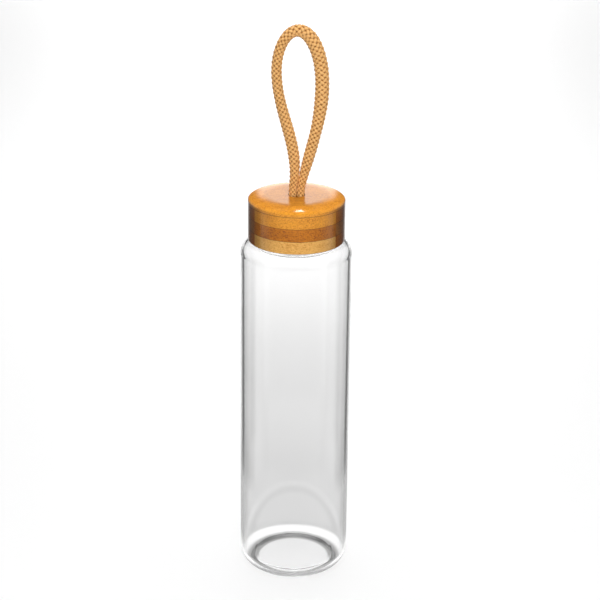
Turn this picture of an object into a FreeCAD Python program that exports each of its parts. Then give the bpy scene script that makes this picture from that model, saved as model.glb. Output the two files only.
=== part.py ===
import FreeCAD, Part
import math
import os

# A tall glass water bottle with a screw-on bamboo lid and a cord carrying loop.
# Millimetres. The origin is the centre of the base, +Z runs up the bottle, and -Y is the front.

V = FreeCAD.Vector

# ---- driving dimensions: glass bottle ------------------------------------------------------
BODY_RADIUS = 32.5          # straight outer wall
WALL = 2.0                  # body wall
HEEL_RADIUS = 10.0          # outer rounding between base and wall
INNER_HEEL_RADIUS = 8.0
INNER_HEEL_Z = 9.8          # height where the inner wall starts to round over into the floor
RING_OUTER_RADIUS = 24.4    # flat ring that the bottle stands on
RING_WIDTH = 1.0
STEP_HEIGHT = 3.0           # inside the ring the underside steps up to a nearly flat disc
STEP_ROUNDING = 0.8
DISC_RISE = 0.8             # from the disc's edge to the axis
FLOOR_THICKNESS = 2.1
GROOVE_ROUNDING = 1.0       # bottom of the groove round the raised floor, inside
SHOULDER_TOP_Z = 209.5
SHOULDER_RADIUS = 7.5
NECK_RADIUS = 21.2
NECK_WALL = 2.2
NECK_FILLET = 1.8           # hollow corner between shoulder and neck, outside
RIM_Z = 220.1

# ---- screw thread --------------------------------------------------------------------------
THREAD_PITCH = 4.0
THREAD_TURNS = 1.25
GLASS_THREAD_HEIGHT = 1.4
GLASS_THREAD_START_Z = 213.0
THREAD_ROOT_WIDTH = 2.1
THREAD_CREST_WIDTH = 0.9
THREAD_EMBED = 0.3          # depth of the ridge's foot inside the wall it grows from
LID_THREAD_START_Z = 212.6

# ---- bamboo lid ----------------------------------------------------------------------------
LID_RADIUS = 28.2
LID_BOTTOM_Z = 210.8
LOWER_GLUE_Z = 218.4        # glue lines between the stacked strips
MIDDLE_GLUE_Z = 225.9
UPPER_GLUE_Z = 233.1
LID_TOP_Z = 237.4
LID_CROWN_WIDTH = 12.0      # the top rounds over to the side in a quarter ellipse
LID_CROWN_DROP = 3.0
LID_FOOT_RADIUS = 0.4
FRONT_SEAM_Y = -16.0        # upright glue seams between neighbouring strips
REAR_SEAM_Y = 6.0
SEAM_SKEW_DEGREES = -2.5    # the seams are not quite square to the front
CORD_HOLE_RADIUS = 4.9
KNOT_POCKET_RADIUS = 12.0

# ---- plastic insert and gasket -------------------------------------------------------------
INSERT_RADIUS = 24.7
INSERT_GLUE_GAP = 0.1
INSERT_THREAD_WALL_RADIUS = 23.0
INSERT_BOTTOM_Z = 211.3
INSERT_TOP_THICKNESS = 1.5
LID_THREAD_HEIGHT = 1.4
GASKET_THICKNESS = 2.0
GASKET_OUTER_RADIUS = 22.8
GASKET_INNER_RADIUS = 17.6
SEAT_GAP = 0.05             # between gasket and glass rim, and between gasket and insert

# ---- carrying cord -------------------------------------------------------------------------
CORD_RADIUS = 3.3
KNOT_RADIUS = 11.2
KNOT_CLEARANCE = 0.4
KNOT_ROUNDING = 0.45        # share of the knot's height that each edge rounding takes
STEM_RADIUS = 4.6
LOOP_PIVOT_Z = 241.0
LOOP_WIDEST_Z = 307.7
LOOP_TOP_Z = 334.0
LOOP_HALF_WIDTH = 12.8
LOOP_FOOT_HALF_GAP = 2.3
LOOP_LEAN = 2.8             # sideways sag of the lower half, towards +X
LEAN_SKEW = 0.6             # below 1, the sag is greatest below the middle of the loop
LEG_SECTIONS = 7
ARCH_SECTIONS = 9

# ---- sizes that follow ---------------------------------------------------------------------
INSERT_CEILING_Z = RIM_Z + GASKET_THICKNESS + 2 * SEAT_GAP
INSERT_TOP_Z = INSERT_CEILING_Z + INSERT_TOP_THICKNESS
LID_BORE_RADIUS = INSERT_RADIUS + INSERT_GLUE_GAP


def point(radius, z):
    return V(radius, 0, z)


def straight(start, end):
    return Part.makeLine(point(*start), point(*end))


def round_corner(centre, radius, start_degrees, end_degrees):
    """Arc in the R-Z half plane. Angles count from +R towards +Z."""
    angles = (start_degrees, (start_degrees + end_degrees) / 2, end_degrees)
    through = []
    for degrees in angles:
        angle = math.radians(degrees)
        through.append(point(centre[0] + radius * math.cos(angle), centre[1] + radius * math.sin(angle)))
    return Part.Arc(*through).toShape()


def angle_from(centre, place):
    """Direction from a centre to a place in the R-Z half plane, in degrees."""
    return math.degrees(math.atan2(place[1] - centre[1], place[0] - centre[0]))


def circles_meet(first, first_radius, second, second_radius):
    """The crossing of two circles that is farther from the axis."""
    across, up = second[0] - first[0], second[1] - first[1]
    apart = math.hypot(across, up)
    along = (apart ** 2 + first_radius ** 2 - second_radius ** 2) / (2 * apart)
    off = math.sqrt(first_radius ** 2 - along ** 2)
    return (first[0] + (across * along + up * off) / apart, first[1] + (up * along - across * off) / apart)


def dome(rim_radius, rim_z, rise):
    """Shallow arc from the axis, where it is level, out to (rim_radius, rim_z)."""
    sphere_radius = (rim_radius ** 2 + rise ** 2) / (2 * rise)
    edge_degrees = math.degrees(math.asin(rim_radius / sphere_radius))
    return round_corner((0, rim_z + rise - sphere_radius), sphere_radius, 90, 90 - edge_degrees)


def quarter_ellipse(centre, width, height):
    """Quarter of an ellipse in the R-Z half plane, from beside its centre to above it."""
    side, top = point(centre[0] + width, centre[1]), point(centre[0], centre[1] + height)
    return Part.ArcOfEllipse(Part.Ellipse(side, top, point(*centre)), 0, math.pi / 2).toShape()


def lathe(edges):
    """Solid of revolution about Z from the edges of a closed outline in the R-Z half plane."""
    outline = Part.Wire(Part.__sortEdges__(edges))
    return Part.Face(outline).revolve(V(0, 0, 0), V(0, 0, 1), 360)


def tube(outer_radius, inner_radius, low_z, high_z):
    outer = Part.makeCylinder(outer_radius, high_z - low_z, point(0, low_z))
    inner = Part.makeCylinder(inner_radius, high_z - low_z, point(0, low_z))
    return outer.cut(inner)


def thread_ridge(foot_radius, crest_radius, start_z, start_degrees):
    """Helical ridge with rounded-off ends. It points inwards when crest_radius < foot_radius."""
    outwards = math.copysign(1, crest_radius - foot_radius)
    buried = foot_radius - outwards * THREAD_EMBED
    corners = [
        V(buried, 0, -THREAD_ROOT_WIDTH / 2),
        V(crest_radius, 0, -THREAD_CREST_WIDTH / 2),
        V(crest_radius, 0, THREAD_CREST_WIDTH / 2),
        V(buried, 0, THREAD_ROOT_WIDTH / 2),
    ]
    profile = Part.makePolygon(corners + corners[:1])
    rise = THREAD_PITCH * THREAD_TURNS
    helix = Part.makeHelix(THREAD_PITCH, rise, foot_radius)
    ridge = Part.Wire(helix).makePipeShell([profile], True, True)
    ends = []
    for end_degrees, end_z, turn in ((0, 0, -90), (360 * THREAD_TURNS, rise, 90)):
        cap = Part.Face(profile).revolve(V(buried, 0, 0), V(0, 0, outwards), turn)
        cap.rotate(V(0, 0, 0), V(0, 0, 1), end_degrees)
        cap.translate(V(0, 0, end_z))
        ends.append(cap)
    ridge = ridge.fuse(ends)
    ridge.rotate(V(0, 0, 0), V(0, 0, 1), start_degrees)
    ridge.translate(V(0, 0, start_z))
    return ridge


# ---- glass bottle --------------------------------------------------------------------------
def step_edge():
    """Centre of the rounding where the step under the base turns into the disc."""
    return (RING_OUTER_RADIUS - RING_WIDTH - STEP_ROUNDING, STEP_HEIGHT - STEP_ROUNDING)


def glass_outer_edges():
    reach = RING_OUTER_RADIUS - (BODY_RADIUS - HEEL_RADIUS)
    heel_centre = (BODY_RADIUS - HEEL_RADIUS, math.sqrt(HEEL_RADIUS ** 2 - reach ** 2))
    ring_outer, ring_inner = (RING_OUTER_RADIUS, 0), (RING_OUTER_RADIUS - RING_WIDTH, 0)
    edge = step_edge()
    shoulder_centre = (BODY_RADIUS - SHOULDER_RADIUS, SHOULDER_TOP_Z - SHOULDER_RADIUS)
    fillet_centre = (NECK_RADIUS + NECK_FILLET, SHOULDER_TOP_Z + NECK_FILLET)
    return [
        dome(edge[0], STEP_HEIGHT, DISC_RISE),
        round_corner(edge, STEP_ROUNDING, 90, 0),
        straight((ring_inner[0], edge[1]), ring_inner),
        straight(ring_inner, ring_outer),
        round_corner(heel_centre, HEEL_RADIUS, angle_from(heel_centre, ring_outer), 0),
        straight((BODY_RADIUS, heel_centre[1]), (BODY_RADIUS, shoulder_centre[1])),
        round_corner(shoulder_centre, SHOULDER_RADIUS, 0, 90),
        straight((shoulder_centre[0], SHOULDER_TOP_Z), (fillet_centre[0], SHOULDER_TOP_Z)),
        round_corner(fillet_centre, NECK_FILLET, 270, 180),
        straight((NECK_RADIUS, fillet_centre[1]), (NECK_RADIUS, RIM_Z - NECK_WALL / 2)),
    ]


def glass_inner_edges():
    wall_radius = BODY_RADIUS - WALL
    shoulder_centre = (BODY_RADIUS - SHOULDER_RADIUS, SHOULDER_TOP_Z - SHOULDER_RADIUS)
    ceiling_z = shoulder_centre[1] + SHOULDER_RADIUS - WALL
    bore_radius = NECK_RADIUS - NECK_WALL
    bend_radius = NECK_FILLET + NECK_WALL
    bend_centre = (bore_radius + bend_radius, ceiling_z + bend_radius)
    return [
        straight((bore_radius, RIM_Z - NECK_WALL / 2), (bore_radius, bend_centre[1])),
        round_corner(bend_centre, bend_radius, 180, 270),
        straight((bend_centre[0], ceiling_z), (shoulder_centre[0], ceiling_z)),
        round_corner(shoulder_centre, SHOULDER_RADIUS - WALL, 90, 0),
        straight((wall_radius, shoulder_centre[1]), (wall_radius, INNER_HEEL_Z)),
    ] + glass_floor_edges()


def glass_floor_edges():
    """Inside: down the heel, through the groove and over the raised floor to the axis."""
    edge = step_edge()
    edge_radius = STEP_ROUNDING + FLOOR_THICKNESS
    heel = (BODY_RADIUS - WALL - INNER_HEEL_RADIUS, INNER_HEEL_Z)
    groove = circles_meet(edge, edge_radius + GROOVE_ROUNDING, heel, INNER_HEEL_RADIUS - GROOVE_ROUNDING)
    down_to_groove = angle_from(heel, groove)
    up_to_edge = angle_from(groove, edge) % 360 - 360
    floor_z = STEP_HEIGHT + FLOOR_THICKNESS
    return [
        round_corner(heel, INNER_HEEL_RADIUS, 0, down_to_groove),
        round_corner(groove, GROOVE_ROUNDING, down_to_groove, up_to_edge),
        round_corner(edge, edge_radius, angle_from(edge, groove), 90),
        dome(edge[0], floor_z, DISC_RISE),
        straight((0, floor_z + DISC_RISE), (0, STEP_HEIGHT + DISC_RISE)),
    ]


def glass_bottle():
    lip_centre = (NECK_RADIUS - NECK_WALL / 2, RIM_Z - NECK_WALL / 2)
    lip = round_corner(lip_centre, NECK_WALL / 2, 0, 180)
    vessel = lathe(glass_outer_edges() + [lip] + glass_inner_edges())
    crest_radius = NECK_RADIUS + GLASS_THREAD_HEIGHT
    return vessel.fuse(thread_ridge(NECK_RADIUS, crest_radius, GLASS_THREAD_START_Z, 0))


# ---- bamboo lid ----------------------------------------------------------------------------
def lid_blank():
    """The turned and bored lid before it is told apart into its glued strips."""
    crown_centre = (LID_RADIUS - LID_CROWN_WIDTH, LID_TOP_Z - LID_CROWN_DROP)
    foot_centre = (LID_RADIUS - LID_FOOT_RADIUS, LID_BOTTOM_Z + LID_FOOT_RADIUS)
    return lathe([
        straight((LID_BORE_RADIUS, LID_BOTTOM_Z), (foot_centre[0], LID_BOTTOM_Z)),
        round_corner(foot_centre, LID_FOOT_RADIUS, -90, 0),
        straight((LID_RADIUS, foot_centre[1]), (LID_RADIUS, crown_centre[1])),
        quarter_ellipse(crown_centre, LID_CROWN_WIDTH, LID_CROWN_DROP),
        straight((crown_centre[0], LID_TOP_Z), (CORD_HOLE_RADIUS, LID_TOP_Z)),
        straight((CORD_HOLE_RADIUS, LID_TOP_Z), (CORD_HOLE_RADIUS, UPPER_GLUE_Z)),
        straight((CORD_HOLE_RADIUS, UPPER_GLUE_Z), (KNOT_POCKET_RADIUS, UPPER_GLUE_Z)),
        straight((KNOT_POCKET_RADIUS, UPPER_GLUE_Z), (KNOT_POCKET_RADIUS, INSERT_TOP_Z)),
        straight((KNOT_POCKET_RADIUS, INSERT_TOP_Z), (LID_BORE_RADIUS, INSERT_TOP_Z)),
        straight((LID_BORE_RADIUS, INSERT_TOP_Z), (LID_BORE_RADIUS, LID_BOTTOM_Z)),
    ])


def strip_block(low, high):
    """Box between two corners, turned by the skew of the upright seams."""
    size = V(*high) - V(*low)
    block = Part.makeBox(size.x, size.y, size.z, V(*low))
    block.rotate(V(0, 0, 0), V(0, 0, 1), SEAM_SKEW_DEGREES)
    return block


def lid_strips():
    """Each bamboo strip of the lid as its own solid, by node name."""
    blank = lid_blank()
    reach = LID_RADIUS + 1
    layers = {
        "upper": (MIDDLE_GLUE_Z, UPPER_GLUE_Z),
        "middle": (LOWER_GLUE_Z, MIDDLE_GLUE_Z),
        "lower": (LID_BOTTOM_Z, LOWER_GLUE_Z),
    }
    strips = {"lid_top_strip": blank.common(strip_block((-reach, -reach, UPPER_GLUE_Z),
                                                        (reach, reach, LID_TOP_Z)))}
    for layer, (low_z, high_z) in layers.items():
        spans = {
            "front": ((-reach, -reach), (reach, FRONT_SEAM_Y)),
            "centre": ((-reach, FRONT_SEAM_Y), (reach, REAR_SEAM_Y)),
            "rear": ((-reach, REAR_SEAM_Y), (reach, reach)),
        }
        if layer == "lower":
            # The bore cuts the lowest centre strip into two separate ends.
            del spans["centre"]
            spans["left"] = ((-reach, FRONT_SEAM_Y), (0, REAR_SEAM_Y))
            spans["right"] = ((0, FRONT_SEAM_Y), (reach, REAR_SEAM_Y))
        for place, (near, far) in spans.items():
            block = strip_block((*near, low_z), (*far, high_z))
            strips[f"lid_{layer}_{place}_strip"] = blank.common(block)
    return strips


# ---- plastic insert and gasket -------------------------------------------------------------
def threaded_insert():
    """Plastic cup glued into the lid. Its thread lies half a pitch below the bottle's."""
    cup = tube(INSERT_RADIUS, INSERT_THREAD_WALL_RADIUS, INSERT_BOTTOM_Z, INSERT_CEILING_Z)
    top = Part.makeCylinder(INSERT_RADIUS, INSERT_TOP_THICKNESS, point(0, INSERT_CEILING_Z))
    crest_radius = INSERT_THREAD_WALL_RADIUS - LID_THREAD_HEIGHT
    in_step_z = GLASS_THREAD_START_Z - THREAD_PITCH / 2
    start_degrees = 360 * (LID_THREAD_START_Z - in_step_z) / THREAD_PITCH
    ridge = thread_ridge(INSERT_THREAD_WALL_RADIUS, crest_radius, LID_THREAD_START_Z, start_degrees)
    return cup.fuse([top, ridge]).removeSplitter()


def seal_gasket():
    low_z = RIM_Z + SEAT_GAP
    return tube(GASKET_OUTER_RADIUS, GASKET_INNER_RADIUS, low_z, low_z + GASKET_THICKNESS)


# ---- carrying cord -------------------------------------------------------------------------
def cord_knot():
    """The knotted ends in their pocket, with the doubled cord that fills the hole in the lid."""
    low_z = INSERT_TOP_Z + KNOT_CLEARANCE
    height = UPPER_GLUE_Z - KNOT_CLEARANCE - low_z
    knot = Part.makeCylinder(KNOT_RADIUS, height, point(0, low_z))
    knot = knot.makeFillet(height * KNOT_ROUNDING, [knot.Edges[0], knot.Edges[2]])
    stem_top = LOOP_PIVOT_Z - CORD_RADIUS - SEAT_GAP
    stem = Part.makeCylinder(STEM_RADIUS, stem_top - low_z - height / 2, point(0, low_z + height / 2))
    return knot.fuse(stem)


def loop_lean(z):
    """Sideways sag of both strands at a height: none at the foot and none at the top."""
    share = (z - LOOP_PIVOT_Z) / (LOOP_TOP_Z - LOOP_PIVOT_Z)
    return LOOP_LEAN * math.sin(math.pi * share ** LEAN_SKEW) ** 2


def strand_centre(side):
    """Centreline of one strand, from the foot of the loop to its top, as a smooth curve."""
    places = []
    for step in range(LEG_SECTIONS):
        share = step / LEG_SECTIONS
        spread = (1 - math.cos(math.pi * share)) / 2
        gap = LOOP_FOOT_HALF_GAP + (LOOP_HALF_WIDTH - LOOP_FOOT_HALF_GAP) * spread
        places.append((gap, LOOP_PIVOT_Z + share * (LOOP_WIDEST_Z - LOOP_PIVOT_Z)))
    for step in range(ARCH_SECTIONS + 1):
        angle = math.pi / 2 * step / ARCH_SECTIONS
        rise = (LOOP_TOP_Z - LOOP_WIDEST_Z) * math.sin(angle)
        places.append((LOOP_HALF_WIDTH * math.cos(angle), LOOP_WIDEST_Z + rise))
    curve = Part.BSplineCurve()
    centres = [V(side * gap + loop_lean(z), 0, z) for gap, z in places]
    curve.interpolate(Points=centres, InitialTangent=V(0, 0, 1), FinalTangent=V(-side, 0, 0))
    return curve.toShape()


def cord_strand(side):
    spine = strand_centre(side)
    start = V(side * LOOP_FOOT_HALF_GAP, 0, LOOP_PIVOT_Z)
    section = Part.Wire(Part.makeCircle(CORD_RADIUS, start, V(0, 0, 1)))
    return Part.Wire(spine).makePipeShell([section], True, False)


def cord_loop():
    """Free loop above the lid. Its foot is a round bar along X, so it turns within itself."""
    width = 2 * LOOP_FOOT_HALF_GAP
    foot = Part.makeCylinder(CORD_RADIUS, width, V(-LOOP_FOOT_HALF_GAP, 0, LOOP_PIVOT_Z), V(1, 0, 0))
    pieces = [foot]
    for side in (-1, 1):
        pieces.append(Part.makeSphere(CORD_RADIUS, V(side * LOOP_FOOT_HALF_GAP, 0, LOOP_PIVOT_Z)))
    right = cord_strand(1)
    return cord_strand(-1).fuse([right] + pieces)


def main():
    parts = {
        "glass_bottle": glass_bottle(),
        "threaded_insert": threaded_insert(),
        "seal_gasket": seal_gasket(),
        "cord_knot": cord_knot(),
        "cord_loop": cord_loop(),
    }
    parts.update(lid_strips())
    os.makedirs("parts", exist_ok=True)
    for name, shape in parts.items():
        print(name, "valid", shape.isValid(), "solids", len(shape.Solids), "mm3", round(shape.Volume, 1))
        shape.exportStep(f"parts/{name}.step")


main()
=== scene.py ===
import math

import bpy
import numpy as np
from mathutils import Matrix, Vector


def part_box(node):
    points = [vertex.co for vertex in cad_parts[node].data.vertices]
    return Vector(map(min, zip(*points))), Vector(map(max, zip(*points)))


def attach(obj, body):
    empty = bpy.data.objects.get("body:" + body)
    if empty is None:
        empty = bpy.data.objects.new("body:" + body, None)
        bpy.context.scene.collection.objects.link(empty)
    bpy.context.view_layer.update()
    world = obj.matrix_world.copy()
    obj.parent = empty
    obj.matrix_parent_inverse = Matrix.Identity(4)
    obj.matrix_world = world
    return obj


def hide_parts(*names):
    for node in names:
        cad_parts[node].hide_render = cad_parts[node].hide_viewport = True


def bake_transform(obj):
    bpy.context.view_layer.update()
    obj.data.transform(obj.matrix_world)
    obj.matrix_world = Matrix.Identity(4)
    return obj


# Looks for a tall glass water bottle with a laminated bamboo screw lid and a braided cord loop.
# Metres. The bottle stands on the floor at the origin, +Z runs up its axis and -Y is the front.

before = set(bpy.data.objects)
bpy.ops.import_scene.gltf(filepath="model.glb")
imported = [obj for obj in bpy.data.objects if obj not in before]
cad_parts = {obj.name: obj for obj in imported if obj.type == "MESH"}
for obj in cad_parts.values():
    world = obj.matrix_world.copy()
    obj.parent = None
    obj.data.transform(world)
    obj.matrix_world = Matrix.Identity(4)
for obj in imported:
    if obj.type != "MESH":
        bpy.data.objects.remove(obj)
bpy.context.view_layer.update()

MM = 0.001
GLASS_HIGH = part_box("glass_bottle")[1]
LID_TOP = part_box("lid_top_strip")[1].z
LOOP_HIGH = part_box("cord_loop")[1]
KNOT_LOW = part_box("cord_knot")[0]

# ---- glass bottle sizes --------------------------------------------------------------------
BODY_RADIUS = GLASS_HIGH.x
RIM_Z = GLASS_HIGH.z
WALL = 2.0 * MM
HEEL_RADIUS = 10.0 * MM
INNER_HEEL_RADIUS = 8.0 * MM
INNER_HEEL_Z = 9.8 * MM            # centre of the rounding between the inner wall and the groove
RING_OUTER_RADIUS = 24.4 * MM      # the bottle stands on this ring
RING_WIDTH = 1.0 * MM
STEP_HEIGHT = 3.0 * MM             # from the ring up to the pushed-up disc inside it
STEP_ROUNDING = 0.8 * MM
DISC_RISE = 0.8 * MM               # the disc domes up by this much
FLOOR_THICKNESS = 2.1 * MM
GROOVE_ROUNDING = 1.0 * MM         # the groove inside the bottle, round its raised floor
SHOULDER_TOP_Z = RIM_Z - 10.6 * MM
SHOULDER_RADIUS = 7.5 * MM
NECK_RADIUS = 21.2 * MM
NECK_WALL = 2.2 * MM
NECK_FILLET = 1.8 * MM
THREAD_PITCH = 4.0 * MM
THREAD_TURNS = 1.25
THREAD_HEIGHT = 1.4 * MM
THREAD_START_Z = RIM_Z - 7.1 * MM
THREAD_HALF_WIDTH = 1.15 * MM
THREAD_FLANK = 0.62                # share of the half width that slopes
THREAD_RUN_IN = 0.05               # turns over which the ridge rises and dies away
GLASS_SEGMENTS = 256               # round the bottle
WALL_ROWS = 24
NECK_ROWS = 76                     # close together, so that the ridge comes out smooth
BORE_ROWS = 4

# ---- cord sizes ----------------------------------------------------------------------------
CORD_RADIUS = 3.3 * MM
LOOP_TOP_Z = LOOP_HIGH.z - CORD_RADIUS
LOOP_WIDEST_Z = LOOP_TOP_Z - 26.3 * MM
LOOP_HALF_WIDTH = 12.8 * MM
LOOP_FOOT_HALF_GAP = 2.3 * MM
LOOP_LEAN = 2.8 * MM               # the loop sags towards +X
LEAN_SKEW = 0.6                    # below 1 it sags most below half height
LOOP_START_Z = LID_TOP - 0.5 * MM
LOOP_PIVOT_Z = LID_TOP + 3.6 * MM
LOOP_STATIONS = 400
LOOP_HALF_FRONT = 3.25 * MM
FOOT_HALF_SIDE = 2.35 * MM
MIDDLE_HALF_SIDE = 3.5 * MM
SQUEEZED_LENGTH = 28 * MM
RIGHT_SWELL = 0.75 * MM            # high up, the right strand is wider than the left one
LEFT_SHRINK = 0.35 * MM
SWELL_START = 35 * MM              # above the lid
SWELL_LENGTH = 25 * MM
SWELL_CROSSING = 20 * MM           # width of the change from the left strand to the right one
BRAID_LEAD = 17.1 * MM
YARNS_PER_HAND = 6
YARN_SIDES = 8
CORE_SIDES = 16
YARN_RISE = 0.10                   # from here to CORE, shares of the cord's radius
YARN_SEAT = 0.74                   # the yarns' mean distance from the cord's axis
YARN_HALF_WIDTH = 0.245
YARN_HALF_THICKNESS = 0.165
CORE = 0.7
KNOT_CORD_RADIUS = 2.1 * MM
KNOT_HALF_HEIGHT = 2.1 * MM
KNOT_MIDDLE_Z = KNOT_LOW.z + KNOT_HALF_HEIGHT + KNOT_CORD_RADIUS
KNOT_SIZE = 2.4 * MM               # a third of the trefoil's reach from the axis
KNOT_OPENING = 0.16                # half turns left open at each end of the trefoil
KNOT_STATIONS = 500
KNOT_BEND = 3.0 * MM


# ============================================================================================
# Mesh helpers
# ============================================================================================
def mesh_object(name, vertices, faces, material):
    """A smooth-shaded mesh of one material, linked to the scene."""
    mesh = bpy.data.meshes.new(name)
    mesh.from_pydata([tuple(v) for v in vertices], [], faces)
    mesh.validate()
    mesh.polygons.foreach_set("use_smooth", [True] * len(mesh.polygons))
    mesh.materials.append(material)
    piece = bpy.data.objects.new(name, mesh)
    bpy.context.scene.collection.objects.link(piece)
    return piece


def arc(centre, radius, start_degrees, end_degrees, step_degrees=4.0):
    """Points (r, z) along an arc in the half plane of a lathe profile."""
    count = max(2, math.ceil(abs(end_degrees - start_degrees) / step_degrees)) + 1
    angles = np.radians(np.linspace(start_degrees, end_degrees, count))
    return [(centre[0] + radius * math.cos(a), centre[1] + radius * math.sin(a)) for a in angles]


def line(start, end, count):
    """Evenly spaced points from start to end, without the two ends."""
    shares = np.linspace(0, 1, count + 2)[1:-1]
    return [(start[0] + (end[0] - start[0]) * s, start[1] + (end[1] - start[1]) * s) for s in shares]


def angle_from(centre, place):
    """Direction from a centre to a place, in degrees."""
    return math.degrees(math.atan2(place[1] - centre[1], place[0] - centre[0]))


def circles_meet(first, first_radius, second, second_radius):
    """The crossing of two circles that is farther from the axis."""
    across, up = second[0] - first[0], second[1] - first[1]
    apart = math.hypot(across, up)
    along = (apart ** 2 + first_radius ** 2 - second_radius ** 2) / (2 * apart)
    off = math.sqrt(first_radius ** 2 - along ** 2)
    return (first[0] + (across * along + up * off) / apart, first[1] + (up * along - across * off) / apart)


def shallow_dome(rim_radius, rim_z, rise, count=24):
    """Points from the axis, where the dome is level, out to its rim."""
    sphere_radius = (rim_radius ** 2 + rise ** 2) / (2 * rise)
    radii = np.linspace(0, rim_radius, count + 1)[1:]
    centre_z = rim_z + rise - sphere_radius
    return [(r, centre_z + math.sqrt(sphere_radius ** 2 - r ** 2)) for r in radii]


# ============================================================================================
# Glass bottle
# ============================================================================================
def glass_outline():
    """Profile from the axis under the base, up the outside, over the rim and down the inside."""
    heel_drop = math.sqrt(HEEL_RADIUS ** 2 - (RING_OUTER_RADIUS - BODY_RADIUS + HEEL_RADIUS) ** 2)
    heel = (BODY_RADIUS - HEEL_RADIUS, heel_drop)
    heel_end = angle_from(heel, (RING_OUTER_RADIUS, 0.0))
    step_radius = RING_OUTER_RADIUS - RING_WIDTH
    edge = (step_radius - STEP_ROUNDING, STEP_HEIGHT - STEP_ROUNDING)
    inner_edge_radius = STEP_ROUNDING + FLOOR_THICKNESS
    inner_radius = BODY_RADIUS - WALL
    inner_heel = (inner_radius - INNER_HEEL_RADIUS, INNER_HEEL_Z)
    groove = circles_meet(edge, inner_edge_radius + GROOVE_ROUNDING,
                          inner_heel, INNER_HEEL_RADIUS - GROOVE_ROUNDING)
    groove_start = angle_from(inner_heel, groove)
    groove_end = angle_from(groove, edge) % 360 - 360
    shoulder = (BODY_RADIUS - SHOULDER_RADIUS, SHOULDER_TOP_Z - SHOULDER_RADIUS)
    fillet = (NECK_RADIUS + NECK_FILLET, SHOULDER_TOP_Z + NECK_FILLET)
    lip = (NECK_RADIUS - NECK_WALL / 2, RIM_Z - NECK_WALL / 2)
    bore = NECK_RADIUS - NECK_WALL
    bend_radius = NECK_FILLET + NECK_WALL
    bend = (bore + bend_radius, SHOULDER_TOP_Z - WALL + bend_radius)
    neck_foot = (NECK_RADIUS, fillet[1])
    neck_head = (NECK_RADIUS, lip[1])
    outline = [(0.0, STEP_HEIGHT + DISC_RISE)]
    outline += shallow_dome(edge[0], STEP_HEIGHT, DISC_RISE)[:-1]
    outline += arc(edge, STEP_ROUNDING, 90, 0, 10.0)
    outline += [(step_radius, 0.0)]
    outline += arc(heel, HEEL_RADIUS, heel_end, 0)
    outline += line((BODY_RADIUS, heel[1]), (BODY_RADIUS, shoulder[1]), WALL_ROWS)
    outline += arc(shoulder, SHOULDER_RADIUS, 0, 90)
    outline += arc(fillet, NECK_FILLET, 270, 180, 9.0)
    outline += line(neck_foot, neck_head, NECK_ROWS)
    outline += arc(lip, NECK_WALL / 2, 0, 180, 10.0)
    outline += line((bore, lip[1]), (bore, bend[1]), BORE_ROWS)
    outline += arc(bend, bend_radius, 180, 270, 6.0)
    outline += arc(shoulder, SHOULDER_RADIUS - WALL, 90, 0)
    outline += line((inner_radius, shoulder[1]), (inner_radius, INNER_HEEL_Z), WALL_ROWS)
    outline += arc(inner_heel, INNER_HEEL_RADIUS, 0, groove_start)
    outline += arc(groove, GROOVE_ROUNDING, groove_start, groove_end, 8.0)[1:-1]
    outline += arc(edge, inner_edge_radius, angle_from(edge, groove), 90)
    outline += shallow_dome(edge[0], STEP_HEIGHT + FLOOR_THICKNESS, DISC_RISE)[-2::-1]
    outline.append((0.0, STEP_HEIGHT + FLOOR_THICKNESS + DISC_RISE))
    return np.array(outline)


def smooth_step(value):
    """0 below 0, 1 above 1 and a soft S between."""
    value = np.clip(value, 0, 1)
    return value * value * (3 - 2 * value)


def thread_relief(angles, heights):
    """How far the screw ridge stands out of the neck at each (height, angle)."""
    relief = np.zeros((len(heights), len(angles)))
    for turn in range(math.ceil(THREAD_TURNS)):
        along = angles[None, :] / (2 * math.pi) + turn
        ridge_z = THREAD_START_Z + THREAD_PITCH * along
        across = np.abs(heights[:, None] - ridge_z) / THREAD_HALF_WIDTH
        flank = smooth_step((1 - across) / THREAD_FLANK)
        run_in = smooth_step(along / THREAD_RUN_IN)
        run_out = smooth_step((THREAD_TURNS - along) / THREAD_RUN_IN)
        relief = np.maximum(relief, flank * run_in * run_out)
    return relief * THREAD_HEIGHT


def glass_bottle(material):
    """The outline turned round the axis, with the screw ridge raised from the neck."""
    outline = glass_outline()
    rings = outline[1:-1]
    angles = np.arange(GLASS_SEGMENTS) * 2 * math.pi / GLASS_SEGMENTS
    on_neck = np.isclose(rings[:, 0], NECK_RADIUS) & (rings[:, 1] > SHOULDER_TOP_Z)
    radii = rings[:, 0][:, None] + thread_relief(angles, rings[:, 1]) * on_neck[:, None]
    x = radii * np.cos(angles)
    y = radii * np.sin(angles)
    z = np.repeat(rings[:, 1][:, None], GLASS_SEGMENTS, axis=1)
    vertices = list(np.stack([x, y, z], axis=-1).reshape(-1, 3))
    under, floor = len(vertices), len(vertices) + 1
    vertices += [(0.0, 0.0, outline[0][1]), (0.0, 0.0, outline[-1][1])]
    faces = []
    last = (len(rings) - 1) * GLASS_SEGMENTS
    for i in range(GLASS_SEGMENTS):
        j = (i + 1) % GLASS_SEGMENTS
        faces.append((under, j, i))
        faces.append((last + i, last + j, floor))
        for row in range(len(rings) - 1):
            a, b = row * GLASS_SEGMENTS, (row + 1) * GLASS_SEGMENTS
            faces.append((a + i, a + j, b + j, b + i))
    piece = mesh_object("bottle_glass", vertices, faces, material)
    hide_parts("glass_bottle")
    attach(piece, "bottle")
    return piece


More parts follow.
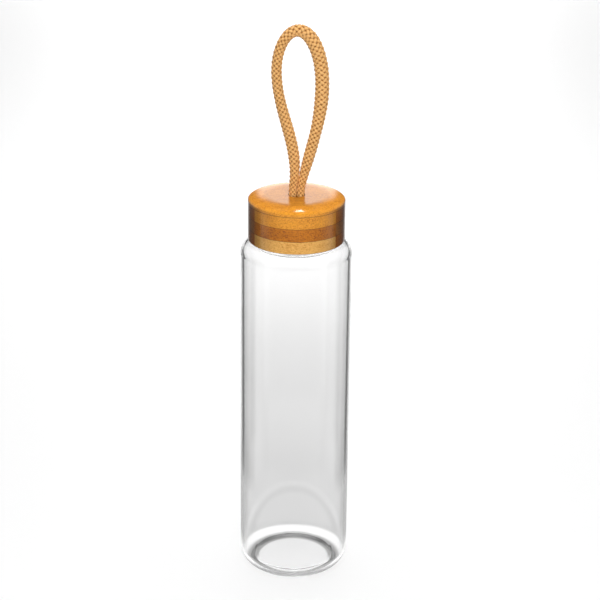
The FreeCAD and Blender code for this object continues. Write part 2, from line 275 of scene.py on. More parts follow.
# ============================================================================================
# Cord
# ============================================================================================
def loop_path(spacing=0.35 * MM):
    """Centreline of the loop, from the left foot over the top to the right foot, evenly spaced."""
    share = np.linspace(0, 1, LOOP_STATIONS)
    opening = (1 - np.cos(math.pi * share)) / 2
    gap = LOOP_FOOT_HALF_GAP + (LOOP_HALF_WIDTH - LOOP_FOOT_HALF_GAP) * opening
    z = LOOP_PIVOT_Z + (LOOP_WIDEST_Z - LOOP_PIVOT_Z) * share
    turn = np.linspace(math.pi, 0, LOOP_STATIONS)[1:-1]
    arch_z = LOOP_WIDEST_Z + (LOOP_TOP_Z - LOOP_WIDEST_Z) * np.sin(turn)
    x = np.concatenate([[-gap[0]], -gap, LOOP_HALF_WIDTH * np.cos(turn), gap[::-1], [gap[0]]])
    z = np.concatenate([[LOOP_START_Z], z, arch_z, z[::-1], [LOOP_START_Z]])
    height = np.clip((z - LOOP_PIVOT_Z) / (LOOP_TOP_Z - LOOP_PIVOT_Z), 0, 1)
    lean = LOOP_LEAN * np.sin(math.pi * height ** LEAN_SKEW) ** 2
    return resample(np.stack([x + lean, np.zeros_like(x), z], axis=1), spacing)


def resample(points, spacing):
    """The same path with its points about `spacing` apart."""
    length = arc_length(points)
    stations = np.linspace(0, length[-1], max(2, round(length[-1] / spacing)) + 1)
    return np.stack([np.interp(stations, length, points[:, k]) for k in range(3)], axis=1)


def unit(vectors):
    return vectors / np.linalg.norm(vectors, axis=1, keepdims=True)


def arc_length(points):
    """Distance along the path to each of its points."""
    steps = np.linalg.norm(np.diff(points, axis=0), axis=1)
    return np.concatenate([[0], np.cumsum(steps)])


def tube_rings(path, across, outward, half_width, half_thickness, sides):
    """Rings of an elliptic tube: `outward` is its thin direction and `across` its wide one."""
    angles = np.arange(sides) * 2 * math.pi / sides
    wide = half_width[:, None, None] * np.cos(angles)[None, :, None] * across[:, None, :]
    thin = half_thickness[:, None, None] * np.sin(angles)[None, :, None] * outward[:, None, :]
    return path[:, None, :] + wide + thin


def tube_faces(ring_count, sides, first):
    """Faces of one tube and its two end caps; `first` is the number of its first vertex."""
    faces = []
    for ring in range(ring_count - 1):
        for side in range(sides):
            a = first + ring * sides + side
            b = first + ring * sides + (side + 1) % sides
            faces.append((a, b, b + sides, a + sides))
    faces.append(tuple(first + side for side in range(sides))[::-1])
    last = first + (ring_count - 1) * sides
    faces.append(tuple(last + side for side in range(sides)))
    return faces


def braid(name, path, side, front, half_side, half_front, material):
    """Yarns plaited one over one round a core. `side` and `front` span the cord's section."""
    distance = arc_length(path)
    outer = 0.5 * (half_side + half_front)
    half_width = YARN_HALF_WIDTH * outer
    half_thickness = YARN_HALF_THICKNESS * outer
    tubes, faces = [], []
    for hand in (1, -1):
        for yarn in range(YARNS_PER_HAND):
            turn = 2 * math.pi * (hand * distance / BRAID_LEAD + yarn / YARNS_PER_HAND)
            wave = np.cos(2 * math.pi * YARNS_PER_HAND * distance / BRAID_LEAD)
            reach = YARN_SEAT + hand * YARN_RISE * wave
            offset = (reach * half_side * np.cos(turn))[:, None] * side
            offset += (reach * half_front * np.sin(turn))[:, None] * front
            centre = path + offset
            tangent = unit(np.gradient(centre, axis=0))
            outward = (np.cos(turn) / half_side)[:, None] * side
            outward += (np.sin(turn) / half_front)[:, None] * front
            across = unit(np.cross(tangent, unit(outward)))
            outward = np.cross(across, tangent)
            faces += tube_faces(len(path), YARN_SIDES, vertex_count(tubes))
            tubes.append(tube_rings(centre, across, outward, half_width, half_thickness, YARN_SIDES))
    faces += tube_faces(len(path), CORE_SIDES, vertex_count(tubes))
    tubes.append(tube_rings(path, side, front, CORE * half_side, CORE * half_front, CORE_SIDES))
    piece = mesh_object(name, np.concatenate([tube.reshape(-1, 3) for tube in tubes]), faces, material)
    stand = [standing_out(tube, path, side, front, half_side, half_front) for tube in tubes]
    store_at_points(piece, "stand", np.concatenate(stand))
    return piece


def vertex_count(tubes):
    return sum(len(tube) * len(tube[0]) for tube in tubes)


def standing_out(tube, path, side, front, half_side, half_front):
    """How far each vertex of a tube is from the cord's axis, as a share of the cord's radius."""
    away = tube - path[:, None, :]
    sideways = np.sum(away * side[:, None, :], axis=2) / half_side[:, None]
    forward = np.sum(away * front[:, None, :], axis=2) / half_front[:, None]
    return np.hypot(sideways, forward).reshape(-1)


def store_at_points(piece, name, values):
    """Keep one number per vertex, for the material to read."""
    attribute = piece.data.attributes.new(name, "FLOAT", "POINT")
    attribute.data.foreach_set("value", values.astype(np.float32))


def loop_piece(material):
    """The loop above the lid, narrower at its foot, where the hole squeezes the two strands."""
    path = loop_path()
    tangent = unit(np.gradient(path, axis=0))
    front = np.tile([0.0, -1.0, 0.0], (len(path), 1))
    side = np.cross(front, tangent)
    height = path[:, 2]
    free = smooth_step((height - LOOP_START_Z) / SQUEEZED_LENGTH)
    high = smooth_step((height - LID_TOP - SWELL_START) / SWELL_LENGTH)
    right = smooth_step(0.5 + path[:, 0] / SWELL_CROSSING)
    swell = (RIGHT_SWELL * right - LEFT_SHRINK * (1 - right)) * high
    half_side = FOOT_HALF_SIDE + free * (MIDDLE_HALF_SIDE - FOOT_HALF_SIDE + swell)
    half_front = np.full(len(path), LOOP_HALF_FRONT)
    piece = braid("cord_loop_braid", path, side, front, half_side, half_front, material)
    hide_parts("cord_loop")
    return piece


def knot_path(spacing=0.3 * MM):
    """Centreline of the tied ends: down the hole, round a trefoil in the pocket and up again."""
    turn = np.linspace(KNOT_OPENING * math.pi, (2 - KNOT_OPENING) * math.pi, KNOT_STATIONS)
    x = KNOT_SIZE * (np.sin(turn) + 2 * np.sin(2 * turn))
    y = KNOT_SIZE * (np.cos(turn) - 2 * np.cos(2 * turn))
    z = KNOT_MIDDLE_Z - KNOT_HALF_HEIGHT * np.sin(3 * turn)
    knot = np.stack([x, y, z], axis=1)
    top = LOOP_START_Z
    left, right = (-LOOP_FOOT_HALF_GAP, 0.0, top), (LOOP_FOOT_HALF_GAP, 0.0, top)
    ends = [left, right] if knot[0][0] < knot[-1][0] else [right, left]
    first = np.array([ends[0], (ends[0][0], 0.0, LID_TOP - KNOT_BEND)])
    last = np.array([(ends[1][0], 0.0, LID_TOP - KNOT_BEND), ends[1]])
    rough_path = resample(np.concatenate([first, knot, last]), spacing)
    return rounded(rough_path, round(2 * KNOT_BEND / spacing))


def rounded(points, reach):
    """The path with its corners eased by a running mean over `reach` points; the ends stay put."""
    before = np.repeat(points[:1], reach, axis=0)
    after = np.repeat(points[-1:], reach, axis=0)
    padded = np.concatenate([before, points, after])
    weights = np.hanning(2 * reach + 1)
    weights = weights / weights.sum()
    eased = np.stack([np.convolve(padded[:, k], weights, "valid") for k in range(3)], axis=1)
    eased[0], eased[-1] = points[0], points[-1]
    return eased


def knot_piece(material):
    """The tied ends inside the lid. The cord's section is carried along the path without twist."""
    path = knot_path()
    tangent = unit(np.gradient(path, axis=0))
    side = np.zeros_like(path)
    guide = np.array([1.0, 0.0, 0.0])
    for step in range(len(path)):
        guide = guide - tangent[step] * np.dot(guide, tangent[step])
        guide = guide / np.linalg.norm(guide)
        side[step] = guide
    front = np.cross(tangent, side)
    radius = np.full(len(path), KNOT_CORD_RADIUS)
    piece = braid("cord_knot_braid", path, side, front, radius, radius, material)
    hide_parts("cord_knot")
    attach(piece, "cord_root")
    return piece


# ============================================================================================
# Materials
# ============================================================================================
class Nodes:
    """Short calls for building a node tree."""

    def __init__(self, tree):
        self.tree = tree
        tree.nodes.clear()

    def add(self, kind, settings=None, **inputs):
        node = self.tree.nodes.new(kind)
        for key, value in (settings or {}).items():
            setattr(node, key, value)
        for key, value in inputs.items():
            self.put(node, key, value)
        return node

    def put(self, node, key, value):
        """Set or link one input. `key` is the input's name, or "in" and its number."""
        if key.startswith("in"):
            socket = node.inputs[int(key[2:])]
        else:
            socket = node.inputs[key.replace("_", " ")]
        if isinstance(value, bpy.types.NodeSocket):
            self.tree.links.new(value, socket)
        else:
            socket.default_value = value

    def math(self, operation, a, b=0.0, clamp=False):
        """One sum on single numbers."""
        settings = {"operation": operation, "use_clamp": clamp}
        return self.add("ShaderNodeMath", settings, in0=a, in1=b).outputs[0]

    def swing(self, value, middle, gain):
        """How far a value is from its middle, times a gain."""
        return self.math("MULTIPLY", self.math("SUBTRACT", value, middle), gain)

    def vector(self, operation, a, b=(0, 0, 0)):
        """One sum on vectors, part by part."""
        return self.add("ShaderNodeVectorMath", {"operation": operation}, in0=a, in1=b).outputs[0]

    def height_of(self, vector):
        """The Z part of a vector."""
        return self.add("ShaderNodeSeparateXYZ", None, in0=vector).outputs[2]

    def ramp(self, value, low, high, out_low=0.0, out_high=1.0):
        """A soft step from out_low, where the value is low, to out_high, where it is high."""
        node = self.add("ShaderNodeMapRange", {"interpolation_type": "SMOOTHSTEP"},
                        Value=value, From_Min=low, From_Max=high, To_Min=out_low, To_Max=out_high)
        return node.outputs["Result"]

    def noise(self, vector, scale, detail=2.0, roughness=0.5):
        """Soft clouds from 0 to 1."""
        node = self.add("ShaderNodeTexNoise", None, Vector=vector, Scale=scale, Detail=detail,
                        Roughness=roughness)
        return node.outputs[0]

    def voronoi(self, vector):
        """Distance to the nearest of many scattered points, about one per unit."""
        node = self.add("ShaderNodeTexVoronoi", None, Vector=vector, Scale=1.0, Randomness=1.0)
        return node.outputs["Distance"]

    def mix(self, factor, first, second, blend="MIX"):
        """The first colour where the factor is 0, the second where it is 1."""
        node = self.tree.nodes.new("ShaderNodeMix")
        node.data_type = "RGBA"
        node.blend_type = blend
        self.put(node, "in0", factor)
        self.put(node, "in6", first)
        self.put(node, "in7", second)
        return node.outputs[2]


def new_material(name):
    """An empty material and the short calls that build it."""
    material = bpy.data.materials.new(name)
    material.use_nodes = True
    return material, Nodes(material.node_tree)


def colour(red, green, blue):
    return (red, green, blue, 1.0)


def clear_glass():
    """Clear glass with a faint drawn-tube ripple. Lamps and the room's soft light pass through it."""
    material, nodes = new_material("clear_glass_look")
    place = nodes.add("ShaderNodeTexCoord").outputs["Object"]
    waves = nodes.noise(nodes.vector("MULTIPLY", place, (1, 1, 0.02)), 60.0, 1.0)
    ripple = nodes.add("ShaderNodeBump", None, Strength=0.05, Distance=0.0006, Height=waves)
    body = nodes.add("ShaderNodeBsdfPrincipled", None, Base_Color=colour(0.985, 0.985, 0.985),
                     Roughness=0.0, IOR=1.474, Transmission_Weight=1.0, Normal=ripple.outputs[0])
    clear = nodes.add("ShaderNodeBsdfTransparent", None, Color=colour(0.94, 0.94, 0.94))
    rays = nodes.add("ShaderNodeLightPath").outputs
    to_lamps = nodes.add("ShaderNodeMixShader", None, in0=rays["Is Shadow Ray"], in1=body.outputs[0],
                         in2=clear.outputs[0])
    to_room = nodes.add("ShaderNodeMixShader", None, in0=rays["Is Diffuse Ray"], in1=to_lamps.outputs[0],
                        in2=clear.outputs[0])
    nodes.add("ShaderNodeOutputMaterial", None, Surface=to_room.outputs[0])
    return material


FIBRE_TURN = math.radians(2.5)
FINE_FIBRE_DEPTH = 0.22
GLUE_WAVER = 0.15 * MM
GLUE_DARKNESS = 0.7
GLUE_COLOUR = colour(0.16, 0.045, 0.008)
# black for the painted shade on the lid's sides and flat top
PAINTED_SHADE_BLACK = colour(0.0, 0.0, 0.0)


def glue_lines(nodes, height, waver):
    """1 on the thin dark glue lines between the lid's layers, 0 elsewhere."""
    core, edge = 0.10 * MM, 0.38 * MM
    lines = 0.0
    for strip in ("lid_top_strip", "lid_upper_front_strip", "lid_middle_front_strip"):
        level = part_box(strip)[0].z
        away = nodes.math("ABSOLUTE", nodes.math("SUBTRACT", height, level))
        away = nodes.math("ADD", away, waver)
        lines = nodes.math("MAXIMUM", lines, nodes.ramp(away, core, edge, 1.0, 0.0))
    return lines


def bamboo_grain(nodes, place, bundle_depth, streak):
    """The place in millimetres, turned with the strips, how dark the grain is there, and its fibres
    and fibre bundles. Each stretch is a frequency along, across and up the strip."""
    turned = nodes.add("ShaderNodeMapping", None, Vector=place, Rotation=(0, 0, FIBRE_TURN),
                       Scale=(1 / MM, 1 / MM, 1 / MM)).outputs[0]
    drift = nodes.noise(nodes.vector("MULTIPLY", turned, (0.05, 0.2, 0.2)), 1.0)
    drift = nodes.swing(drift, middle=0.5, gain=2.4)
    waver = nodes.add("ShaderNodeCombineXYZ", None, in0=0.0, in1=drift, in2=drift).outputs[0]
    grain = nodes.vector("ADD", turned, waver)
    bundles = nodes.voronoi(nodes.vector("MULTIPLY", grain, (0.05, 1.15, 1.15)))
    bundles = nodes.ramp(bundles, 0.12, 0.42, 1.0, 0.0)
    fine = nodes.voronoi(nodes.vector("MULTIPLY", grain, (3 * streak, 2.2, 2.2)))
    fine = nodes.ramp(fine, 0.1, 0.6, 1.0, 0.0)
    fibres = nodes.vector("MULTIPLY", grain, (streak, 2.6, 2.6))
    fibres = nodes.noise(fibres, 1.0, detail=3.0, roughness=0.65)
    specks = nodes.noise(nodes.vector("MULTIPLY", turned, (1.5, 1.5, 1.0)), 1.0, roughness=0.7)
    patches = nodes.noise(nodes.vector("MULTIPLY", grain, (0.03, 0.22, 0.22)), 1.0)
    depth = nodes.math("MULTIPLY", bundles, bundle_depth)
    depth = nodes.math("ADD", depth, nodes.math("MULTIPLY", fine, FINE_FIBRE_DEPTH))
    depth = nodes.math("ADD", depth, nodes.swing(fibres, middle=0.45, gain=2.4))
    depth = nodes.math("ADD", depth, nodes.swing(specks, middle=0.45, gain=1.7))
    depth = nodes.math("ADD", depth, nodes.swing(patches, middle=0.5, gain=0.8), clamp=True)
    return turned, depth, fibres, bundles


def lid_painted_shade(nodes):
    """How much painted shade darkens the lid's wood: most on the sides that turn away from the camera, a
    little on the flat top, and none on the rounded crown between them."""
    slant = nodes.add("ShaderNodeLayerWeight", None, Blend=0.5).outputs["Facing"]
    upright = nodes.height_of(nodes.add("ShaderNodeNewGeometry").outputs["Normal"])
    turned_away = nodes.ramp(slant, 0.05, 0.75, out_low=0.0, out_high=0.7)
    on_side = nodes.ramp(upright, 0.3, 0.9, out_low=1.0, out_high=0.0)
    on_flat_top = nodes.ramp(upright, 0.995, 0.9998, out_low=0.0, out_high=0.22)
    return nodes.math("MAXIMUM", nodes.math("MULTIPLY", turned_away, on_side), on_flat_top)


def bamboo(name, light, dark, bundle_depth, streak):
    """Lacquered bamboo, with painted shade on the sides that turn away from the camera and a little
    on the flat top. The fibres run along X, so their ends show on the left and right.
    `bundle_depth` is how dark the fibre bundles are, and `streak` is the fibre marks' frequency
    along X, per millimetre."""
    material, nodes = new_material(name)
    place = nodes.add("ShaderNodeTexCoord").outputs["Object"]
    turned, depth, fibres, bundles = bamboo_grain(nodes, place, bundle_depth, streak)
    tone = nodes.mix(depth, light, dark)
    lines = glue_lines(nodes, nodes.height_of(place), nodes.math("MULTIPLY", fibres, GLUE_WAVER))
    tone = nodes.mix(nodes.math("MULTIPLY", lines, GLUE_DARKNESS), tone, GLUE_COLOUR)
    # painted shade: the wood darkens towards black on its turned-away sides and flat top
    tone = nodes.mix(lid_painted_shade(nodes), tone, PAINTED_SHADE_BLACK)
    relief = nodes.math("ADD", fibres, nodes.math("MULTIPLY", bundles, 0.5))
    grain_bump = nodes.add("ShaderNodeBump", None, Strength=0.35, Distance=0.00005, Height=relief)
    peel = nodes.noise(turned, 0.55, 1.0)
    coat_bump = nodes.add("ShaderNodeBump", None, Strength=0.15, Distance=0.00005, Height=peel)
    body = nodes.add("ShaderNodeBsdfPrincipled", None, Base_Color=tone, Roughness=0.42, IOR=1.45,
                     Specular_IOR_Level=0.0, Normal=grain_bump.outputs[0],
                     Coat_Weight=1.0, Coat_Roughness=0.18, Coat_IOR=1.5,
                     Coat_Tint=colour(0.94, 0.80, 0.55), Coat_Normal=coat_bump.outputs[0])
    nodes.add("ShaderNodeOutputMaterial", None, Surface=body.outputs[0])
    return material


def insert_plastic():
    """Moulded satin plastic, off-white and slightly gritty."""
    material, nodes = new_material("insert_plastic_look")
    place = nodes.add("ShaderNodeTexCoord").outputs["Object"]
    grit = nodes.noise(place, 2600.0, 2.0)
    cloud = nodes.noise(place, 90.0, 2.0)
    tone = nodes.mix(cloud, colour(0.80, 0.79, 0.75), colour(0.86, 0.85, 0.82))
    bump = nodes.add("ShaderNodeBump", None, Strength=0.2, Distance=0.00003, Height=grit)
    rough = nodes.ramp(grit, 0.3, 0.7, 0.32, 0.46)
    body = nodes.add("ShaderNodeBsdfPrincipled", None, Base_Color=tone, Roughness=rough, IOR=1.49,
                     Subsurface_Weight=0.15, Normal=bump.outputs[0])
    nodes.put(body, "Subsurface_Radius", (0.002, 0.002, 0.0018))
    nodes.add("ShaderNodeOutputMaterial", None, Surface=body.outputs[0])
    return material


def silicone():
    """Soft, cloudy, pale grey rubber."""
    material, nodes = new_material("silicone_look")
    place = nodes.add("ShaderNodeTexCoord").outputs["Object"]
    cloud = nodes.noise(place, 260.0, 3.0)
    tone = nodes.mix(cloud, colour(0.72, 0.73, 0.72), colour(0.80, 0.80, 0.79))
    grit = nodes.noise(place, 3200.0)
    bump = nodes.add("ShaderNodeBump", None, Strength=0.25, Distance=0.00004, Height=grit)
    body = nodes.add("ShaderNodeBsdfPrincipled", None, Base_Color=tone, Roughness=0.55, IOR=1.42,
                     Subsurface_Weight=0.25, Sheen_Weight=0.15, Normal=bump.outputs[0])
    nodes.put(body, "Subsurface_Radius", (0.003, 0.003, 0.003))
    nodes.add("ShaderNodeOutputMaterial", None, Surface=body.outputs[0])
    return material


def cord_yarn():
    """Yarn with painted light and shade: bright on its crests, brown in the gaps between the yarns and
    darker towards the cord's edges. How far it stands out from the cord's axis is stored at the mesh
    points."""
    material, nodes = new_material("cord_look")
    place = nodes.add("ShaderNodeTexCoord").outputs["Object"]
    stand = nodes.add("ShaderNodeAttribute", {"attribute_name": "stand"}).outputs["Fac"]
    fuzz = nodes.noise(place, 4200.0, 2.0, 0.6)
    # random mottling of the yarn's own tone
    shade = nodes.noise(place, 520.0, 2.0)
    # painted light on the yarns' crests and painted shade in the gaps between them
    crest_light_gap_shade = nodes.ramp(stand, 0.78, 0.99)
    lightness = nodes.math("ADD", crest_light_gap_shade, nodes.swing(fuzz, middle=0.5, gain=0.7))
    lightness = nodes.math("ADD", lightness, nodes.swing(shade, middle=0.5, gain=0.6), clamp=True)
    tone = nodes.mix(lightness, colour(0.44, 0.17, 0.032), colour(0.98, 0.57, 0.215))
    # painted shade towards the cord's edges, from the angle to the camera
    slant = nodes.add("ShaderNodeLayerWeight", None, Blend=0.5).outputs["Facing"]
    painted_edge_shade = nodes.ramp(slant, 0.30, 0.95, out_low=0.0, out_high=0.55)
    tone = nodes.mix(painted_edge_shade, tone, colour(0.34, 0.11, 0.02))
    bump = nodes.add("ShaderNodeBump", None, Strength=0.6, Distance=0.00012, Height=fuzz)
    body = nodes.add("ShaderNodeBsdfPrincipled", None, Base_Color=tone, Roughness=0.55, IOR=1.5,
                     Sheen_Weight=0.08, Sheen_Roughness=0.4, Normal=bump.outputs[0])
    nodes.add("ShaderNodeOutputMaterial", None, Surface=body.outputs[0])
    return material


# ============================================================================================
# Stage
# ============================================================================================
ROOM_LEVEL = 0.08
PANEL_LEVEL = 2.0
SIDE_LEVEL = 0.5
FLOOR_GLOW = 0.20
FAR_FLOOR_GLOW = 1.1               # the far floor is lit up, so that it meets the white background
FLOOR_REACH = 9.0
FLOOR_DROP = 0.05 * MM

# The camera was fitted to the photo's outline of the bottle.
SENSOR_WIDTH = 36.0
LENS = 118.756
CAMERA_PLACE = (0.00252, -1.0787, 0.6111)
CAMERA_PITCH = math.radians(67.84)
CAMERA_TURN = math.radians(0.609)


def light_rig(camera):
    """An empty on the bottle's axis that turns about Z with the camera; -Y faces the camera."""
    rig = bpy.data.objects.new("light_rig", None)
    bpy.context.scene.collection.objects.link(rig)
    facing = rig.constraints.new("LOCKED_TRACK")
    facing.target = camera
    facing.track_axis = "TRACK_NEGATIVE_Y"
    facing.lock_axis = "LOCK_Z"
    return rig


def softbox(rig, name, place, target, size, power):
    """A rectangular lamp that turns with the rig."""
    lamp = bpy.data.lights.new(name, "AREA")
    lamp.shape = "RECTANGLE"
    lamp.size, lamp.size_y = size
    lamp.energy = power
    holder = bpy.data.objects.new(name, lamp)
    bpy.context.scene.collection.objects.link(holder)
    holder.parent = rig
    holder.location = place
    holder.rotation_mode = "QUATERNION"
    holder.rotation_quaternion = (Vector(target) - Vector(place)).to_track_quat("-Z", "Y")
    holder.visible_camera = False
    return holder


def studio_world(rig):
    """White to the camera. Mirrored in the object it is a dim room with a narrow bright panel low
    behind the bottle and paler walls on both sides, as seen from the camera."""
    world = bpy.data.worlds.new("studio")
    bpy.context.scene.world = world
    world.use_nodes = True
    nodes = Nodes(world.node_tree)
    rays = nodes.add("ShaderNodeLightPath").outputs
    towards = nodes.add("ShaderNodeTexCoord", {"object": rig}).outputs["Object"]
    axes = nodes.add("ShaderNodeSeparateXYZ", None, in0=nodes.vector("NORMALIZE", towards)).outputs
    sideways = nodes.math("ABSOLUTE", axes[0])
    behind = nodes.ramp(axes[1], 0.0, 0.3)
    within = nodes.ramp(sideways, 0.07, 0.15, 1.0, 0.0)
    below_top = nodes.ramp(axes[2], 0.345, 0.42, 1.0, 0.0)
    panel = nodes.math("MULTIPLY", nodes.math("MULTIPLY", behind, within), below_top)
    level = nodes.math("ADD", ROOM_LEVEL, nodes.math("MULTIPLY", panel, PANEL_LEVEL))
    walls = nodes.math("MULTIPLY", nodes.ramp(sideways, 0.35, 0.55), nodes.ramp(axes[2], -0.02, 0.08))
    sharp = nodes.math("SUBTRACT", 1.0, rays["Is Diffuse Ray"])
    walls = nodes.math("MULTIPLY", nodes.math("MULTIPLY", walls, sharp), SIDE_LEVEL)
    level = nodes.math("ADD", level, walls)
    level = nodes.math("MAXIMUM", level, rays["Is Camera Ray"])
    backdrop = nodes.add("ShaderNodeBackground", None, Color=colour(1, 1, 1), Strength=level)
    nodes.add("ShaderNodeOutputWorld", None, Surface=backdrop.outputs[0])


def flag_material(level):
    """Dark card whose edges fade out, and that rays going up from the floor don't see. The fade is
    stored at the mesh points."""
    material, nodes = new_material("flag")
    fade = nodes.add("ShaderNodeAttribute", {"attribute_name": "fade"}).outputs["Fac"]
    back_along_ray = nodes.add("ShaderNodeNewGeometry").outputs["Incoming"]
    downward = nodes.ramp(nodes.height_of(back_along_ray), -0.12, -0.02)
    fade = nodes.math("MULTIPLY", fade, downward)
    card = nodes.add("ShaderNodeEmission", None, Color=colour(1, 1, 1), Strength=level)
    air = nodes.add("ShaderNodeBsdfTransparent")
    mixed = nodes.add("ShaderNodeMixShader", None, in0=fade, in1=air.outputs[0], in2=card.outputs[0])
    nodes.add("ShaderNodeOutputMaterial", None, Surface=mixed.outputs[0])
    return material


def flag(rig, name, material, radius, sweep, top, soft_sides, soft_top, strength):
    """Curved card round the bottle, seen only in its glass. `sweep` is its two ends, in degrees from
    straight behind, and the soft parts are the shares of its width and height that fade out."""
    columns, rows = 33, 17
    foot, soft_foot = 1.0 * MM, 0.03
    angles = np.radians(np.linspace(sweep[0], sweep[1], columns))
    heights = np.linspace(foot, top, rows)
    vertices = [(radius * math.sin(a), radius * math.cos(a), z) for z in heights for a in angles]
    faces = []
    for row in range(rows - 1):
        for column in range(columns - 1):
            a = row * columns + column
            faces.append((a, a + 1, a + columns + 1, a + columns))
    card = mesh_object(name, vertices, faces, material)
    across = np.tile(np.linspace(0, 1, columns), rows)
    up = np.repeat(np.linspace(0, 1, rows), columns)
    fade = smooth_step(across / soft_sides[0]) * smooth_step((1 - across) / soft_sides[1])
    fade = fade * smooth_step(up / soft_foot) * smooth_step((1 - up) / soft_top) * strength
    store_at_points(card, "fade", fade)
    card.parent = rig
    card.visible_camera = card.visible_shadow = False


def dark_flags(rig):
    """Two tall cards give the wall its dark edges, two low ones the heel, and one behind the camera
    keeps the front of the glass from mirroring the room."""
    black, grey = flag_material(0.17), flag_material(0.40)
    flag(rig, "flag_left", black, radius=0.12, sweep=(-100, -37), top=0.22,
         soft_sides=(0.1, 0.07), soft_top=0.12, strength=1.0)
    flag(rig, "flag_right", black, radius=0.12, sweep=(36, 100), top=0.22,
         soft_sides=(0.12, 0.2), soft_top=0.12, strength=1.0)
    flag(rig, "flag_low_left", grey, radius=0.045, sweep=(-100, -40), top=0.085,
         soft_sides=(0.1, 0.3), soft_top=0.4, strength=0.6)
    flag(rig, "flag_low_right", grey, radius=0.045, sweep=(40, 100), top=0.085,
         soft_sides=(0.3, 0.1), soft_top=0.4, strength=0.6)
    flag(rig, "flag_front", grey, radius=0.16, sweep=(105, 255), top=0.20,
         soft_sides=(0.15, 0.15), soft_top=0.12, strength=0.8)


def floor_painted_shade_through_glass(nodes, distance):
    """Painted light and shade on the floor where it is seen through the glass: greyer near the bottle,
    pale right under its base, and a painted contact shadow in a band round the ring that it stands on."""
    tone = nodes.ramp(distance, 0.08, 0.22, 0.69, 0.77)
    tone = nodes.math("ADD", tone, nodes.ramp(distance, 0.24, 0.54, 0.0, 0.25))
    # painted light right under the base
    tone = nodes.math("MAXIMUM", tone, nodes.ramp(distance, 0.038, 0.050, 1.22, 0.0))
    ring_shadow_level = 0.36
    ring_inside = RING_OUTER_RADIUS - 2.0 * MM
    ring_outside = RING_OUTER_RADIUS + 3.5 * MM
    # painted contact shadow in a band round the ring
    inside = nodes.ramp(distance, ring_inside - 2.0 * MM, ring_inside, 1.0, ring_shadow_level)
    outside = nodes.ramp(distance, ring_outside, ring_outside + 5.0 * MM, ring_shadow_level, 1.0)
    return nodes.math("MULTIPLY", tone, nodes.math("MAXIMUM", inside, outside))


def floor():
    """Pale and faintly glossy. It throws little light back up, so the sides of the lid stay dark."""
    material, nodes = new_material("pale_floor")
    place = nodes.add("ShaderNodeTexCoord").outputs["Object"]
    distance = nodes.add("ShaderNodeVectorMath", {"operation": "LENGTH"}, in0=place).outputs["Value"]
    rays = nodes.add("ShaderNodeLightPath").outputs
    through = floor_painted_shade_through_glass(nodes, distance)
    # only rays through the glass see the painted light and shade
    through = nodes.mix(rays["Is Transmission Ray"], colour(1, 1, 1), through)
    tone = nodes.mix(1.0, colour(0.82, 0.82, 0.82), through, "MULTIPLY")
    glow = nodes.ramp(distance, 0.9, 2.4, FLOOR_GLOW, FAR_FLOOR_GLOW)
    body = nodes.add("ShaderNodeBsdfPrincipled", None, Base_Color=tone, Roughness=0.3, IOR=1.45,
                     Emission_Color=tone, Emission_Strength=glow)
    dark = nodes.add("ShaderNodeBsdfDiffuse", None, Color=colour(0.15, 0.15, 0.15))
    mixed = nodes.add("ShaderNodeMixShader", None, in0=rays["Is Diffuse Ray"], in1=body.outputs[0],
                      in2=dark.outputs[0])
    nodes.add("ShaderNodeOutputMaterial", None, Surface=mixed.outputs[0])
    corners = [(-1, -1), (1, -1), (1, 1), (-1, 1)]
    vertices = [(x * FLOOR_REACH, y * FLOOR_REACH, -FLOOR_DROP) for x, y in corners]
    mesh_object("floor", vertices, [(0, 1, 2, 3)], material)


def lamps(rig):
    """The key makes the one highlight on the crown of the lid. The other three only fill, and
    aren't mirrored or seen through the glass."""
    key = softbox(rig, "key", (0.035, 0.86, 1.47), (0, 0, LID_TOP), size=(0.17, 0.36), power=3.4)
    key.visible_diffuse = False
    fill = softbox(rig, "front_fill", (0.1, -1.5, 0.95), (0, 0, 0.2), size=(0.7, 0.5), power=23.0)
    overhead = softbox(rig, "overhead", (0, 0.5, 1.8), (0, 0.5, 0), size=(1.6, 1.6), power=20.5)
    glow = softbox(rig, "floor_glow", (0, 0.9, 0.8), (0, 0.7, 0), size=(1.2, 0.5), power=4.0)
    for lamp in (fill, overhead, glow):
        lamp.visible_glossy = False
        lamp.visible_transmission = False


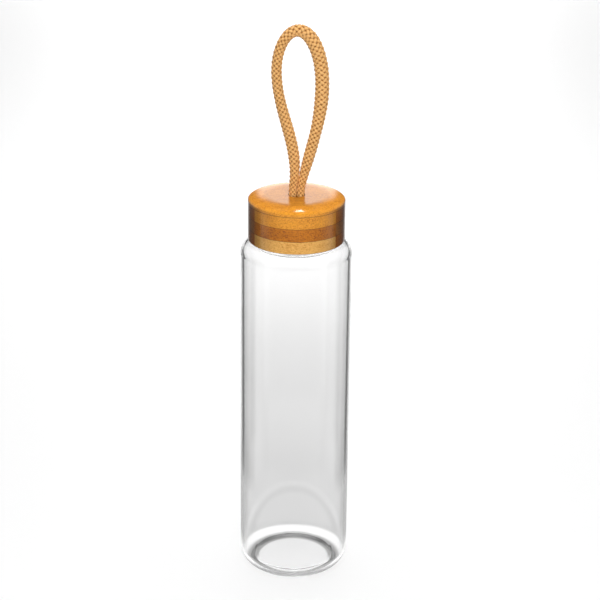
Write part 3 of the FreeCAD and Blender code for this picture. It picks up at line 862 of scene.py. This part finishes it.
def camera():
    data = bpy.data.cameras.new("camera")
    data.sensor_width = SENSOR_WIDTH
    data.lens = LENS
    data.clip_start = 0.05
    data.clip_end = 50.0
    eye = bpy.data.objects.new("camera", data)
    bpy.context.scene.collection.objects.link(eye)
    eye.location = CAMERA_PLACE
    eye.rotation_mode = "ZYX"
    eye.rotation_euler = (CAMERA_PITCH, 0, CAMERA_TURN)
    bpy.context.scene.camera = eye
    return eye


# ============================================================================================
# Assembly
# ============================================================================================
def dress(names, material):
    """Give CAD pieces a material; their shape stays as packed."""
    for name in names:
        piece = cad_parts[name]
        piece.data.materials.clear()
        piece.data.materials.append(material)


def dress_lid():
    """The strips' tones alternate from layer to layer, as on the real lid."""
    honey = bamboo("bamboo_honey_look", colour(0.97, 0.48, 0.062), colour(0.54, 0.19, 0.014),
                   bundle_depth=0.36, streak=0.5)
    pale = bamboo("bamboo_pale_look", colour(0.99, 0.65, 0.25), colour(0.62, 0.28, 0.055),
                  bundle_depth=0.36, streak=0.5)
    tan = bamboo("bamboo_tan_look", colour(0.56, 0.26, 0.07), colour(0.26, 0.09, 0.014),
                 bundle_depth=0.5, streak=0.12)
    brown = bamboo("bamboo_brown_look", colour(0.66, 0.25, 0.014), colour(0.26, 0.07, 0.004),
                   bundle_depth=0.5, streak=0.12)
    dress(["lid_top_strip", "lid_upper_front_strip", "lid_upper_rear_strip"], honey)
    dress(["lid_lower_front_strip", "lid_lower_rear_strip"], pale)
    dress(["lid_middle_centre_strip"], tan)
    dress(["lid_upper_centre_strip", "lid_middle_front_strip", "lid_middle_rear_strip"], brown)
    dress(["lid_lower_left_strip", "lid_lower_right_strip"], brown)


def dress_cord():
    cord = cord_yarn()
    loop = loop_piece(cord)
    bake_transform(loop)
    knot_piece(cord)


bpy.context.scene.view_settings.view_transform = "Standard"
glass_bottle(clear_glass())
dress_lid()
dress(["threaded_insert"], insert_plastic())
dress(["seal_gasket"], silicone())
dress_cord()

rig = light_rig(camera())
floor()
studio_world(rig)
dark_flags(rig)
lamps(rig)
